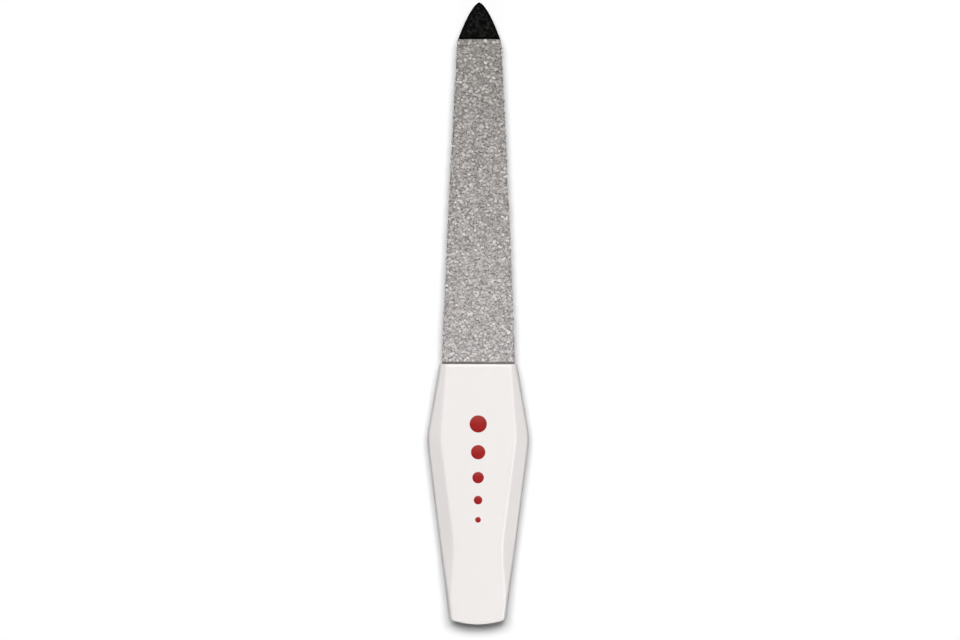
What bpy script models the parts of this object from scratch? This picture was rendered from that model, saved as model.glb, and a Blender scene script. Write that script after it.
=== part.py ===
"""Sapphire nail file: a flat steel blank whose blade is coated with sapphire grit on both faces, a black
coated point, and a white one-piece handle moulded over the blank's tang.

The file lies on its back. +Y runs from the handle to the point, +X is the right-hand edge seen from the
front, and +Z points out of the front face. The origin is the bottom centre of the bounding box, so the
handle's rear face lies on Z = 0.
"""

import math

import bmesh
import bpy

MM = 0.001

# Steel blank
BLADE_LENGTH = 67.9 * MM          # from the handle's lip to the shoulder where the point starts
POINT_LENGTH = 7.4 * MM           # steel point, from the shoulder to its apex
BLADE_BASE_WIDTH = 14.75 * MM     # bare steel, at the lip
SHOULDER_WIDTH = 8.5 * MM         # bare steel, where the point starts
EDGE_BOW = 0.11 * MM              # how far each long edge bows out from a straight taper
POINT_FULLNESS = 0.64             # exponent of the point's outline: 0.5 is a parabola, 1 a straight taper
STEEL_THICKNESS = 0.8 * MM
SEAT_DEPTH = 3.0 * MM             # full-width steel that goes into the handle
TANG_WIDTH = 8.6 * MM
TANG_CORNER = 2.0 * MM            # corner radius at the tang's end and where it leaves the seat
LARGEST_CORNER = 0.9              # largest share of the ledge beside it that such a corner may take
LOCKING_HOLE_DIAMETER = 3.2 * MM
FIRST_HOLE_DEPTH = 14.0 * MM      # from the lip to the first locking hole
LAST_HOLE_INSET = 10.0 * MM       # from the tang's end to the second one

# Grit coats and coated point
SKIN_GAP = 0.02 * MM              # between the steel and what covers it
COAT_THICKNESS = 0.35 * MM        # nickel bond and sapphire grains
COAT_CHAMFER = 0.12 * MM
COAT_SEAT = 1.0 * MM              # length of coat that goes into the handle's mouth
JOINT_GAP = 0.03 * MM             # between two coverings that meet end to end
POINT_COAT_WALL = 0.15 * MM
POINT_COAT_NOSE = 0.35 * MM       # build-up at the apex
POINT_COAT_EDGE_RADIUS = 0.3 * MM
NOSE_DRAW = 2.0                   # how many edge radii the rounded edge draws in at the apex
WIDEST_EDGE = 3.0                 # largest edge radius, in walls, that leaves the steel's corners covered

# Handle
MOULD_GAP = 0.03 * MM             # between the handle and what it is moulded over
HANDLE_LENGTH = 54.4 * MM
FACE_WALL = 1.65 * MM             # plastic above and below the coated blade
END_WALL = 14.2 * MM              # plastic beyond the tang's end
LIP_SIDE_WALL = 0.35 * MM         # plastic beside the coated blade at the lip
FLARE = 2.6 * MM                  # how far each side flares out from the lip to its sharpest turn
TURN_DEPTH = 15.4 * MM            # from the lip to that turn
TAPER = 4.85 * MM                 # how far each side narrows from that turn to the end
SIDE_BLEND = 2.0 * MM             # half-length of the curve that rounds the turn
END_BOW = 0.85 * MM               # how far the middle of the end stands beyond its corners
END_CORNER = 0.8 * MM
LIP_CORNER = 0.5 * MM
ROLL_WIDTH = 0.55 * MM            # rounded outer side, seen from the front
ROLL_TURN = math.radians(70)      # how far the side rolls over before the facet starts
FACET_SLOPE = math.radians(32)    # of the facet between the roll and the front face
LIP_FACET_WIDTH = 0.9 * MM        # facet seen from the front, at the lip
TURN_FACET_WIDTH = 2.3 * MM       # at the turn
WAIST_FACET_WIDTH = 2.4 * MM      # at the waist
TOE_FACET_WIDTH = 0.3 * MM        # at the toe and from there to the end
WAIST_INSET = 15.7 * MM           # from the end to the waist, where the facets start to narrow
TOE_INSET = 5.9 * MM              # from the end to the toe, where they have run out
FACET_BLEND = 3.5 * MM            # half-length of the curves that join the facet's stretches
LIP_ROUND = 0.35 * MM             # rounded edge of the lip
END_ROUND = 0.2 * MM              # how far the end's rounded edge draws in
END_ROUND_HEIGHT = 0.4 * MM

# Derived places, all measured from the lip's centre at mid-thickness
STEEL_HALF = STEEL_THICKNESS / 2
TANG_LENGTH = HANDLE_LENGTH - END_WALL
HOLE_DEPTHS = (FIRST_HOLE_DEPTH, TANG_LENGTH - LAST_HOLE_INSET)
COVER_INSIDE = STEEL_HALF + SKIN_GAP
COAT_OUTSIDE = COVER_INSIDE + COAT_THICKNESS
POINT_COAT_OUTSIDE = COVER_INSIDE + POINT_COAT_WALL
POINT_COAT_BASE = BLADE_LENGTH + JOINT_GAP
POINT_COAT_HALF_WIDTH = SHOULDER_WIDTH / 2 + SKIN_GAP + POINT_COAT_WALL
POINT_COAT_LENGTH = POINT_LENGTH + POINT_COAT_NOSE - JOINT_GAP
MOUTH_HALF_WIDTH = BLADE_BASE_WIDTH / 2 + SKIN_GAP + COAT_THICKNESS + MOULD_GAP
MOUTH_HALF_HEIGHT = COAT_OUTSIDE + MOULD_GAP
LIP_HALF_WIDTH = MOUTH_HALF_WIDTH + LIP_SIDE_WALL
TURN_HALF_WIDTH = LIP_HALF_WIDTH + FLARE
END_HALF_WIDTH = TURN_HALF_WIDTH - TAPER
HANDLE_HALF = MOUTH_HALF_HEIGHT + FACE_WALL
WAIST_DEPTH = HANDLE_LENGTH - WAIST_INSET
TOE_DEPTH = HANDLE_LENGTH - TOE_INSET
LIP_Y = HANDLE_LENGTH - (HANDLE_LENGTH + POINT_COAT_BASE + POINT_COAT_LENGTH) / 2

# Fineness of the curves
POINT_STEPS = 14
EDGE_STEPS = 12
SIDE_STEPS = 24
ARC_STEPS = 5
END_STEPS = 5
HOLE_SIDES = 32
QUARTER_TURN = math.radians(90)
CREASE_ANGLE = math.radians(18)   # a turn sharper than this shows as an edge
OVERSHOOT = 2.0 * MM              # how far a cutter runs past the face that it opens


def clear_scene():
    """Removes the objects that a new file starts with."""
    for obj in list(bpy.data.objects):
        bpy.data.objects.remove(obj)


def material(name, colour, roughness, metallic=0.0):
    """A plain Principled material."""
    made = bpy.data.materials.new(name)
    made.use_nodes = True
    shader = made.node_tree.nodes["Principled BSDF"]
    shader.inputs["Base Color"].default_value = (*colour, 1.0)
    shader.inputs["Roughness"].default_value = roughness
    shader.inputs["Metallic"].default_value = metallic
    return made


def add_object(name, bm, finish, parent):
    """Makes the mesh an object whose origin is the centre of the lip."""
    bmesh.ops.recalc_face_normals(bm, faces=bm.faces)
    mesh = bpy.data.meshes.new(name)
    bm.to_mesh(mesh)
    bm.free()
    mesh.shade_smooth()
    mesh.set_sharp_from_angle(angle=CREASE_ANGLE)
    obj = bpy.data.objects.new(name, mesh)
    bpy.context.scene.collection.objects.link(obj)
    obj.parent = parent
    if finish is not None:
        mesh.materials.append(finish)
    return obj


def add_ring(bm, points):
    """A closed loop of edges through the points."""
    corners = [bm.verts.new(point) for point in points]
    return [bm.edges.new(pair) for pair in zip(corners, corners[1:] + corners[:1])]


def loft(rings):
    """A closed body through rings that have as many points each, with flat ends."""
    bm = bmesh.new()
    loops = [add_ring(bm, points) for points in rings]
    for lower, upper in zip(loops, loops[1:]):
        bmesh.ops.bridge_loops(bm, edges=lower + upper)
    for end in (loops[0], loops[-1]):
        bmesh.ops.edgeloop_fill(bm, edges=end)
    return bm


def plate(outline, half_thickness):
    """A flat plate of the outline, centred on mid-thickness."""
    return loft([[(x, y, z) for x, y in outline] for z in (-half_thickness, half_thickness)])


def mirrored(right_side):
    """The whole outline from its right side, which runs from the front of the file to its end."""
    left_side = [(-x, y) for x, y in reversed(right_side) if x > 0]
    return right_side + left_side


def rounded_corner(before, corner, after):
    """A quadratic curve that leaves along before-corner and arrives along corner-after."""
    curve = []
    for step in range(ARC_STEPS + 1):
        t = step / ARC_STEPS
        weights = ((1 - t) ** 2, 2 * t * (1 - t), t**2)
        curve.append(tuple(sum(w * p[i] for w, p in zip(weights, (before, corner, after))) for i in (0, 1)))
    return curve


def blended(stations, blend, depth):
    """Value at a depth on straight stretches between the stations, with corners rounded over the blend."""
    for (d0, v0), (d1, v1), (d2, v2) in zip(stations, stations[1:], stations[2:]):
        if abs(depth - d1) < blend:
            slope_in = (v1 - v0) / (d1 - d0)
            slope_out = (v2 - v1) / (d2 - d1)
            ahead = depth - (d1 - blend)
            start = v1 - slope_in * blend
            return start + slope_in * ahead + (slope_out - slope_in) * ahead**2 / (4 * blend)
    for (d0, v0), (d1, v1) in zip(stations, stations[1:]):
        if depth <= d1 or d1 == stations[-1][0]:
            return v0 + (v1 - v0) * (depth - d0) / (d1 - d0)


def blade_half_width(y):
    """Bare steel from the centre line to the edge. It stays parallel inside the handle."""
    t = min(max(y / BLADE_LENGTH, 0.0), 1.0)
    straight = BLADE_BASE_WIDTH / 2 * (1 - t) + SHOULDER_WIDTH / 2 * t
    return straight + 4 * EDGE_BOW * t * (1 - t)


def point_side(base_y, half_width, length):
    """Right side of a point's outline, from its apex to its base."""
    side = []
    for step in range(POINT_STEPS + 1):
        t = (step / POINT_STEPS) ** 2
        side.append((half_width * t**POINT_FULLNESS, base_y + length * (1 - t)))
    return side


def blank_side(grow):
    """Right side of the blank's outline from its apex to the tang's end, grown by a gap all round."""
    side = point_side(BLADE_LENGTH, SHOULDER_WIDTH / 2 + grow, POINT_LENGTH + grow)
    for step in range(1, EDGE_STEPS + 1):
        y = BLADE_LENGTH * (1 - step / EDGE_STEPS)
        side.append((blade_half_width(y) + grow, y))
    seat_half = BLADE_BASE_WIDTH / 2 + grow
    tang_half = TANG_WIDTH / 2 + grow
    seat_end = -SEAT_DEPTH - grow
    tang_end = -TANG_LENGTH - grow
    fillet = min(TANG_CORNER, LARGEST_CORNER * (seat_half - tang_half))
    corner = min(TANG_CORNER, LARGEST_CORNER * tang_half)
    side.append((seat_half, seat_end))
    fillet_start = (tang_half + fillet, seat_end)
    side += rounded_corner(fillet_start, (tang_half, seat_end), (tang_half, seat_end - fillet))
    corner_start = (tang_half, tang_end + corner)
    side += rounded_corner(corner_start, (tang_half, tang_end), (tang_half - corner, tang_end))
    return side


def drill_locking_holes(obj, radius, parent):
    """Cuts the tang's locking holes."""
    height = STEEL_THICKNESS + 2 * OVERSHOOT
    for number, depth in enumerate(HOLE_DEPTHS, start=1):
        bm = bmesh.new()
        sizes = {"radius1": radius, "radius2": radius, "depth": height}
        bmesh.ops.create_cone(bm, cap_ends=True, segments=HOLE_SIDES, **sizes)
        bmesh.ops.translate(bm, vec=(0, -depth, 0), verts=bm.verts)
        cut(obj, add_cutter(f"{obj.name}_hole_{number}", bm, parent))


def add_cutter(name, bm, parent):
    """A helper solid that is taken away from another and isn't part of the file."""
    cutter = add_object(name, bm, None, parent)
    cutter.hide_render = True
    cutter.display_type = "WIRE"
    return cutter


def cut(obj, cutter):
    """Takes the cutter away from the object."""
    modifier = obj.modifiers.new(f"cut_{cutter.name}", "BOOLEAN")
    modifier.operation = "DIFFERENCE"
    modifier.object = cutter


def add_steel_blank(finish, parent):
    """Blade, point and tang, stamped from one sheet, with the two locking holes."""
    blank = add_object("steel_blank", plate(mirrored(blank_side(0.0)), STEEL_HALF), finish, parent)
    drill_locking_holes(blank, LOCKING_HOLE_DIAMETER / 2, parent)
    return blank


def coat_section(y, side):
    """Channel section of one coat at y: it covers one face and wraps half of both edges."""
    inner = blade_half_width(y) + SKIN_GAP
    outer = inner + COAT_THICKNESS
    seam = JOINT_GAP / 2
    right = [
        (inner, seam),
        (outer, seam),
        (outer, COAT_OUTSIDE - COAT_CHAMFER),
        (outer - COAT_CHAMFER, COAT_OUTSIDE),
    ]
    left = [(-x, z) for x, z in reversed(right)]
    corners = right + left + [(-inner, COVER_INSIDE), (inner, COVER_INSIDE)]
    return [(x, y, side * z) for x, z in corners]


def add_grit_coat(name, side, finish, parent):
    """One face's coat: side is 1 for the front and -1 for the rear."""
    places = [-COAT_SEAT] + [BLADE_LENGTH * step / EDGE_STEPS for step in range(EDGE_STEPS + 1)]
    return add_object(name, loft([coat_section(y, side) for y in places]), finish, parent)


def add_point_coat(finish, parent):
    """Black coat of the steel point, with rounded edges and a pocket that the point fills."""
    radius = min(POINT_COAT_EDGE_RADIUS, WIDEST_EDGE * POINT_COAT_WALL)
    levels = []
    for step in range(ARC_STEPS + 1):
        turn = QUARTER_TURN * step / ARC_STEPS
        levels.append((radius * (1 - math.cos(turn)), POINT_COAT_OUTSIDE - radius * (1 - math.sin(turn))))
    levels = [(inset, -height) for inset, height in reversed(levels)] + levels
    rings = []
    for inset, height in levels:
        length = POINT_COAT_LENGTH - NOSE_DRAW * inset
        side = point_side(POINT_COAT_BASE, POINT_COAT_HALF_WIDTH - inset, length)
        rings.append([(x, y, height) for x, y in mirrored(side)])
    coat = add_object("point_coat", loft(rings), finish, parent)
    pocket = plate(mirrored(blank_side(SKIN_GAP)), COVER_INSIDE)
    cut(coat, add_cutter("point_coat_pocket", pocket, parent))
    return coat


def handle_half_width(depth):
    """Handle from its centre line to its side, at a depth behind the lip."""
    stations = [(0.0, LIP_HALF_WIDTH), (TURN_DEPTH, TURN_HALF_WIDTH), (HANDLE_LENGTH, END_HALF_WIDTH)]
    return blended(stations, SIDE_BLEND, depth)


def facet_width(depth):
    """Facet seen from the front, at a depth behind the lip."""
    stations = [
        (0.0, LIP_FACET_WIDTH),
        (TURN_DEPTH, TURN_FACET_WIDTH),
        (WAIST_DEPTH, WAIST_FACET_WIDTH),
        (TOE_DEPTH, TOE_FACET_WIDTH),
        (HANDLE_LENGTH, TOE_FACET_WIDTH),
    ]
    return blended(stations, FACET_BLEND, depth)


def handle_side():
    """Right side of the handle's outline at mid-thickness, from the lip to the middle of its end."""
    corner_depth = HANDLE_LENGTH - END_BOW
    end_corner = (handle_half_width(corner_depth), -corner_depth)

    def side_point(depth):
        return (handle_half_width(depth), -depth)

    def end_point(share):
        return (end_corner[0] * share, -HANDLE_LENGTH + END_BOW * share**2)

    lip_corner = (LIP_HALF_WIDTH, 0.0)
    side = rounded_corner((LIP_HALF_WIDTH - LIP_CORNER, 0.0), lip_corner, side_point(LIP_CORNER))
    straight = corner_depth - END_CORNER - LIP_CORNER
    side += [side_point(LIP_CORNER + straight * step / SIDE_STEPS) for step in range(1, SIDE_STEPS)]
    corner_share = 1 - END_CORNER / end_corner[0]
    side += rounded_corner(side_point(corner_depth - END_CORNER), end_corner, end_point(corner_share))
    side += [end_point(corner_share * (1 - step / END_STEPS)) for step in range(1, END_STEPS + 1)]
    return side


def rounded_inset(height, radius, rise):
    """How far a rounded upper edge draws in at a height above mid-thickness."""
    above = max(height - (HANDLE_HALF - rise), 0.0) / rise
    return radius * (1 - math.sqrt(max(1 - above**2, 0.0)))


def handle_levels():
    """Steps up the side from mid-thickness: the roll's share in width and in height, and the facet's."""
    levels = []
    for step in range(ARC_STEPS + 1):
        turn = ROLL_TURN * step / ARC_STEPS
        rolled = (1 - math.cos(turn)) / (1 - math.cos(ROLL_TURN))
        levels.append((rolled, math.sin(turn) / math.sin(ROLL_TURN), 0.0))
    for step in range(1, ARC_STEPS + 1):
        levels.append((1.0, 1.0, math.sin(QUARTER_TURN * step / ARC_STEPS)))
    return levels


def handle_ring(outline, side, rolled, raised, faceted):
    """The handle's outline drawn in at one level: side is 1 above mid-thickness and -1 below it."""
    ring = []
    for x, y in outline:
        facet = facet_width(-y)
        facet_height = facet * math.tan(FACET_SLOPE)
        height = (HANDLE_HALF - facet_height) * raised + facet_height * faceted
        inset = ROLL_WIDTH * rolled + facet * faceted
        lip_inset = rounded_inset(height, LIP_ROUND, LIP_ROUND)
        end_inset = rounded_inset(height, END_ROUND, END_ROUND_HEIGHT)
        shrink = (HANDLE_LENGTH - lip_inset - end_inset) / HANDLE_LENGTH
        ring.append((x * (1 - inset / handle_half_width(-y)), y * shrink - lip_inset, side * height))
    return ring


def add_handle(finish, parent):
    """One-piece handle: a flat coffin shape with rolled sides and facets, moulded over the tang."""
    outline = mirrored(handle_side())
    levels = handle_levels()
    lower = [handle_ring(outline, -1, *shares) for shares in reversed(levels[1:])]
    upper = [handle_ring(outline, 1, *shares) for shares in levels]
    handle = add_object("handle", loft(lower + upper), finish, parent)

    core = add_cutter("handle_core", plate(mirrored(blank_side(MOULD_GAP)), STEEL_HALF + MOULD_GAP), parent)
    drill_locking_holes(core, LOCKING_HOLE_DIAMETER / 2 - MOULD_GAP, parent)
    cut(handle, core)
    mouth_end = -COAT_SEAT - MOULD_GAP
    mouth = mirrored([(MOUTH_HALF_WIDTH, OVERSHOOT), (MOUTH_HALF_WIDTH, mouth_end)])
    cut(handle, add_cutter("handle_mouth", plate(mouth, MOUTH_HALF_HEIGHT), parent))
    return handle


def main():
    """Builds the file around an empty at the centre of the handle's lip, at mid-thickness."""
    clear_scene()
    lip_centre = bpy.data.objects.new("lip_centre", None)
    lip_centre.location = (0.0, LIP_Y, HANDLE_HALF)
    bpy.context.scene.collection.objects.link(lip_centre)

    steel = material("hardened_steel", (0.55, 0.55, 0.56), 0.35, 1.0)
    front_grit = material("coarse_sapphire_grit", (0.38, 0.36, 0.35), 0.6, 0.4)
    rear_grit = material("fine_sapphire_grit", (0.42, 0.40, 0.39), 0.6, 0.4)
    black = material("black_point_coating", (0.012, 0.012, 0.012), 0.4)
    white = material("white_plastic", (0.87, 0.85, 0.83), 0.3)

    add_steel_blank(steel, lip_centre)
    add_grit_coat("front_grit_coat", 1, front_grit, lip_centre)
    add_grit_coat("rear_grit_coat", -1, rear_grit, lip_centre)
    add_point_coat(black, lip_centre)
    add_handle(white, lip_centre)


main()
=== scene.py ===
"""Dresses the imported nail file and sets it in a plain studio.

The frame gives every place. The two grit coats, the coated point and the handle are rebuilt
finer over their solids, the steel blank is kept, and a floor, lamps and a camera are set round
them. Lengths are in metres, and MM turns millimetres into them. +Y runs from the handle to the
point and +Z out of the front.
"""

import logging
import math
import random
from collections.abc import Sequence
from dataclasses import dataclass
from enum import Enum

import bmesh
import bpy
from bmesh.types import BMEdge, BMesh, BMVert
from bpy.types import Material, Node, NodeSocket, NodeTree, Object
from mathutils import Matrix, Vector, noise


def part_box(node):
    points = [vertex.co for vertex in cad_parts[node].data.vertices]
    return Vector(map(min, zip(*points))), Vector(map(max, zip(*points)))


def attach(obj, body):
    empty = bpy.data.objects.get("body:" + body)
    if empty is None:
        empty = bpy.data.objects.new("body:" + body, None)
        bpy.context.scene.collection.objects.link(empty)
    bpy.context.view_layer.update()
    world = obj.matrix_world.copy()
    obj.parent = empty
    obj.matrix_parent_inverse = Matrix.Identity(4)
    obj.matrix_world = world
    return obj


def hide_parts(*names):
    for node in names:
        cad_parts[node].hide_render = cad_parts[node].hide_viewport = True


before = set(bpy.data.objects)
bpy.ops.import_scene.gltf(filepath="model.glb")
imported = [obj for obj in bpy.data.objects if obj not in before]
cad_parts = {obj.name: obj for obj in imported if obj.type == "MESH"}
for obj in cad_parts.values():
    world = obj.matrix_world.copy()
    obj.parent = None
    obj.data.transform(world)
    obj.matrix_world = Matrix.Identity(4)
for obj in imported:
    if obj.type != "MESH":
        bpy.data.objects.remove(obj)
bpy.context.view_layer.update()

Triple = tuple[float, float, float]
Colour = Triple
Point = tuple[float, float]
Limits = tuple[float, float]

MM = 0.001
QUARTER_TURN = math.radians(90)
CREASE_ANGLE = math.radians(30)  # a turn sharper than this shows as an edge
UNIT_CUBE = 2 / math.sqrt(3)  # edge of a cube whose corners are 1 from its middle
ROW_SPACING = math.sin(math.radians(60))  # between rows of even triangles with sides of 1
WELD = 0.001 * MM  # vertices closer than this are one
MIX_INPUTS = (0, 6, 7)  # share and colours of a colour Mix node
MIX_OUTPUT = 2  # its mixed colour
SWING: Limits = (0.3, 0.7)  # a noise pattern seldom goes past these values
WHITE: Colour = (1.0, 1.0, 1.0)

log = logging.getLogger("nail_file")


# Workshop: meshes and node sheets


def loft(rings: Sequence[Sequence[Vector]]) -> BMesh:
    """Skins a closed body through rings that have as many points each.

    The first ring is a circle whose vertices are moved to its points, and each further one is
    extruded from the ring before it.

    Args:
        rings: The rings, from one end of the body to the other.

    Returns:
        The body, closed with a flat face at each end.
    """
    bm = bmesh.new()
    verts = bmesh.ops.create_circle(bm, cap_ends=False, radius=1.0, segments=len(rings[0]))["verts"]
    first = last = list(bm.edges)
    for number, points in enumerate(rings):
        if number:
            extruded = bmesh.ops.extrude_edge_only(bm, edges=last)["geom"]
            last = [part for part in extruded if isinstance(part, BMEdge)]
            fresh = {part for part in extruded if isinstance(part, BMVert)}
            neighbours = [[edge.other_vert(vert) for edge in vert.link_edges] for vert in verts]
            verts = [next(vert for vert in near if vert in fresh) for near in neighbours]
        for vert, point in zip(verts, points):
            vert.co = point
    for end in (first, last):
        bmesh.ops.edgeloop_fill(bm, edges=end)
    bmesh.ops.recalc_face_normals(bm, faces=bm.faces)
    return bm


def round_edges(bm: BMesh, edges: Sequence[BMEdge], reach: float, segments: int) -> None:
    """Rounds edges of a mesh.

    Args:
        bm: The mesh.
        edges: The edges.
        reach: How far the rounding goes into each face.
        segments: Number of its chords.
    """
    bmesh.ops.bevel(
        bm,
        geom=edges,
        offset=reach,
        offset_type="OFFSET",
        segments=segments,
        profile=0.5,
        affect="EDGES",
        material=-1,
    )


def mirrored(right_side: Sequence[Point]) -> list[Point]:
    """Completes an outline from its right side.

    Args:
        right_side: Points from the front of the outline to its end.

    Returns:
        The whole outline.
    """
    return list(right_side) + [(-x, y) for x, y in reversed(right_side) if x > 0]


def rounded(before: Point, corner: Point, after: Point, steps: int) -> list[Point]:
    """Rounds a corner with a quadratic curve.

    Args:
        before: Where the curve starts.
        corner: The corner that it cuts.
        after: Where the curve ends.
        steps: Number of chords.

    Returns:
        Points of the curve, both ends included.
    """
    controls = (before, corner, after)
    curve = []
    for step in range(steps + 1):
        t = step / steps
        weights = ((1 - t) ** 2, 2 * t * (1 - t), t**2)
        x, y = (sum(w * p[axis] for w, p in zip(weights, controls)) for axis in (0, 1))
        curve.append((x, y))
    return curve


def blended(stations: Sequence[Point], blend: float, depth: float) -> float:
    """Reads a value off straight stretches whose corners are rounded.

    Args:
        stations: Pairs of depth and value, where the stretches meet.
        blend: Half-length of the curve at each corner.
        depth: Where the value is read.

    Returns:
        The value at the depth.
    """
    for (d0, v0), (d1, v1), (d2, v2) in zip(stations, stations[1:], stations[2:]):
        if abs(depth - d1) < blend:
            slope_in = (v1 - v0) / (d1 - d0)
            slope_out = (v2 - v1) / (d2 - d1)
            ahead = depth - (d1 - blend)
            return v1 + slope_in * (ahead - blend) + (slope_out - slope_in) * ahead**2 / (4 * blend)
    passed = [pair for pair in zip(stations, stations[1:]) if depth > pair[0][0]]
    (d0, v0), (d1, v1) = passed[-1] if passed else (stations[0], stations[1])
    return v0 + (v1 - v0) * (depth - d0) / (d1 - d0)


def report(obj: Object, finish: "Finish") -> None:
    """Logs a finished piece."""
    log.info("%s: %d faces, %s", obj.name, len(obj.data.polygons), type(finish).__name__)


class Piece:
    """A mesh made an object. Once dressed, it is a visible piece and rides on the only body."""

    def __init__(self, name: str, bm: BMesh, smooth: bool = True) -> None:
        """Makes the object.

        Args:
            name: Name of the object.
            bm: Its mesh, which is freed.
            smooth: Whether its faces are shaded smooth between creases.
        """
        mesh = bpy.data.meshes.new(name)
        bm.to_mesh(mesh)
        bm.free()
        self.smooth = smooth
        self.obj = bpy.data.objects.new(name, mesh)
        bpy.context.scene.collection.objects.link(self.obj)

    def cut(self, cutter: BMesh) -> "Piece":
        """Takes a closed body away from the piece.

        Args:
            cutter: The body, which is freed.

        Returns:
            The piece.
        """
        tool = Piece("cutter", cutter).obj
        modifier = self.obj.modifiers.new("cut", "BOOLEAN")
        modifier.operation = "DIFFERENCE"
        modifier.solver = "EXACT"
        modifier.object = tool
        evaluated = self.obj.evaluated_get(bpy.context.evaluated_depsgraph_get())
        cut_mesh = bpy.data.meshes.new_from_object(evaluated)
        self.obj.modifiers.remove(modifier)
        self.obj.data = cut_mesh
        bpy.data.objects.remove(tool)
        return self

    def dress(
        self,
        finish: "Finish",
        slot: str | None = None,
        replaces: Sequence[str] = (),
    ) -> None:
        """Gives the piece its finish, fixes it to the frame and reports it.

        Args:
            finish: What its surface is.
            slot: The record's material slot that the finish belongs to. Not used.
            replaces: CAD nodes that the piece stands for.
        """
        mesh = self.obj.data
        mesh.materials.clear()
        mesh.materials.append(finish.make())
        if self.smooth:
            mesh.shade_smooth()
            mesh.set_sharp_from_angle(angle=CREASE_ANGLE)
        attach(self.obj, "root")
        if replaces:
            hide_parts(*replaces)
        report(self.obj, finish)


class NodeSheet:
    """Node tree of one material, drawn on the piece's Object coordinates."""

    def __init__(self, name: str) -> None:
        """Starts the tree with its Principled shader.

        Args:
            name: Name of the material.
        """
        self.material = bpy.data.materials.new(name)
        self.material.use_nodes = True
        self.tree = self.material.node_tree
        self.shader = self.tree.nodes["Principled BSDF"]
        self.place = self.add("TexCoord").outputs["Object"]

    def add(self, kind: str, **settings: object) -> Node:
        """Adds a node.

        Args:
            kind: The node's type, without its ShaderNode prefix.
            **settings: Properties that are set on the node.

        Returns:
            The node.
        """
        node = self.tree.nodes.new("ShaderNode" + kind)
        for key, value in settings.items():
            setattr(node, key, value)
        return node

    def link(self, source: NodeSocket, target: NodeSocket | str) -> None:
        """Links a socket to another, or to a named one of the shader."""
        end = self.shader.inputs[target] if isinstance(target, str) else target
        self.tree.links.new(source, end)

    def plain(self, **values: float | Colour) -> None:
        """Sets values that are the same all over, on the shader's own sockets.

        Args:
            **values: Socket names, with _ for a space, and their values.
        """
        for key, value in values.items():
            socket = self.shader.inputs[key.replace("_", " ")]
            socket.default_value = (*value, 1.0) if isinstance(value, tuple) else value

    def grain(
        self,
        size: float,
        detail: float = 2.0,
        stretch: Triple = (1.0, 1.0, 1.0),
        contrast: float = 0.5,
    ) -> NodeSocket:
        """Adds a noise pattern.

        Args:
            size: Length of one wave.
            detail: Octaves of finer noise.
            stretch: How many times longer the pattern is along each axis.
            contrast: Share that each finer octave keeps.

        Returns:
            The pattern, from 0 to 1.
        """
        mapping = self.add("Mapping")
        mapping.inputs["Scale"].default_value = tuple(1 / (size * factor) for factor in stretch)
        self.link(self.place, mapping.inputs["Vector"])
        pattern = self.add("TexNoise")
        pattern.inputs["Scale"].default_value = 1.0
        pattern.inputs["Detail"].default_value = detail
        pattern.inputs["Roughness"].default_value = contrast
        self.link(mapping.outputs["Vector"], pattern.inputs["Vector"])
        return pattern.outputs["Fac"]

    def axis(self, name: str) -> NodeSocket:
        """Adds the place along one axis.

        Args:
            name: X, Y or Z.

        Returns:
            The place.
        """
        parts = self.add("SeparateXYZ")
        self.link(self.place, parts.inputs["Vector"])
        return parts.outputs[name]

    def along(self, axis: str, start: float, end: float) -> NodeSocket:
        """Adds a ramp from 0 to 1 between two places on an axis.

        Args:
            axis: X, Y or Z.
            start: Where the ramp is 0.
            end: Where it is 1.

        Returns:
            The ramp.
        """
        return self.span(self.axis(axis), start=start, end=end)

    def span(
        self,
        source: NodeSocket,
        low: float = 0.0,
        high: float = 1.0,
        start: float = 0.0,
        end: float = 1.0,
    ) -> NodeSocket:
        """Maps a value to another range, and clamps it there.

        Args:
            source: The value.
            low: Result at start.
            high: Result at end.
            start: Value that gives low.
            end: Value that gives high.

        Returns:
            The mapped value.
        """
        node = self.add("MapRange")
        values = {"From Min": start, "From Max": end, "To Min": low, "To Max": high}
        for key, value in values.items():
            node.inputs[key].default_value = value
        self.link(source, node.inputs["Value"])
        return node.outputs["Result"]

    def maths(self, operation: str, first: NodeSocket, second: NodeSocket | float) -> NodeSocket:
        """Works out a value from two others.

        Args:
            operation: What is done with them.
            first: The first value.
            second: The second value, or a number.

        Returns:
            The result.
        """
        node = self.add("Math", operation=operation)
        self.link(first, node.inputs[0])
        if isinstance(second, float):
            node.inputs[1].default_value = second
        else:
            self.link(second, node.inputs[1])
        return node.outputs["Value"]

    def ramp(self, source: NodeSocket, stops: Sequence[tuple[float, Colour]]) -> NodeSocket:
        """Colours a value.

        Args:
            source: The value.
            stops: Pairs of value and colour, in order.

        Returns:
            The colour.
        """
        node = self.add("ValToRGB")
        elements = node.color_ramp.elements
        while len(elements) < len(stops):
            elements.new(1.0)
        for element, (position, colour) in zip(elements, stops):
            element.position = position
            element.color = (*colour, 1.0)
        self.link(source, node.inputs["Fac"])
        return node.outputs["Color"]

    def mix(
        self,
        share: NodeSocket,
        first: NodeSocket,
        second: NodeSocket | Colour,
        blend_type: str = "MIX",
    ) -> NodeSocket:
        """Mixes two colours.

        Args:
            share: How much of the second one shows.
            first: The colour underneath.
            second: The colour on top.
            blend_type: How the second one is laid on.

        Returns:
            The mixed colour.
        """
        node = self.add("Mix", data_type="RGBA", blend_type=blend_type)
        factor, under, over = (node.inputs[number] for number in MIX_INPUTS)
        self.link(share, factor)
        self.link(first, under)
        if isinstance(second, tuple):
            over.default_value = (*second, 1.0)
        else:
            self.link(second, over)
        return node.outputs[MIX_OUTPUT]

    def roughen(self, pattern: NodeSocket, roughness: Limits, swing: Limits = SWING) -> None:
        """Lets the shader's roughness follow a pattern.

        Args:
            pattern: The pattern.
            roughness: Least and most of the roughness.
            swing: Values of the pattern that give them.
        """
        self.link(self.span(pattern, *roughness, *swing), "Roughness")

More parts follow.
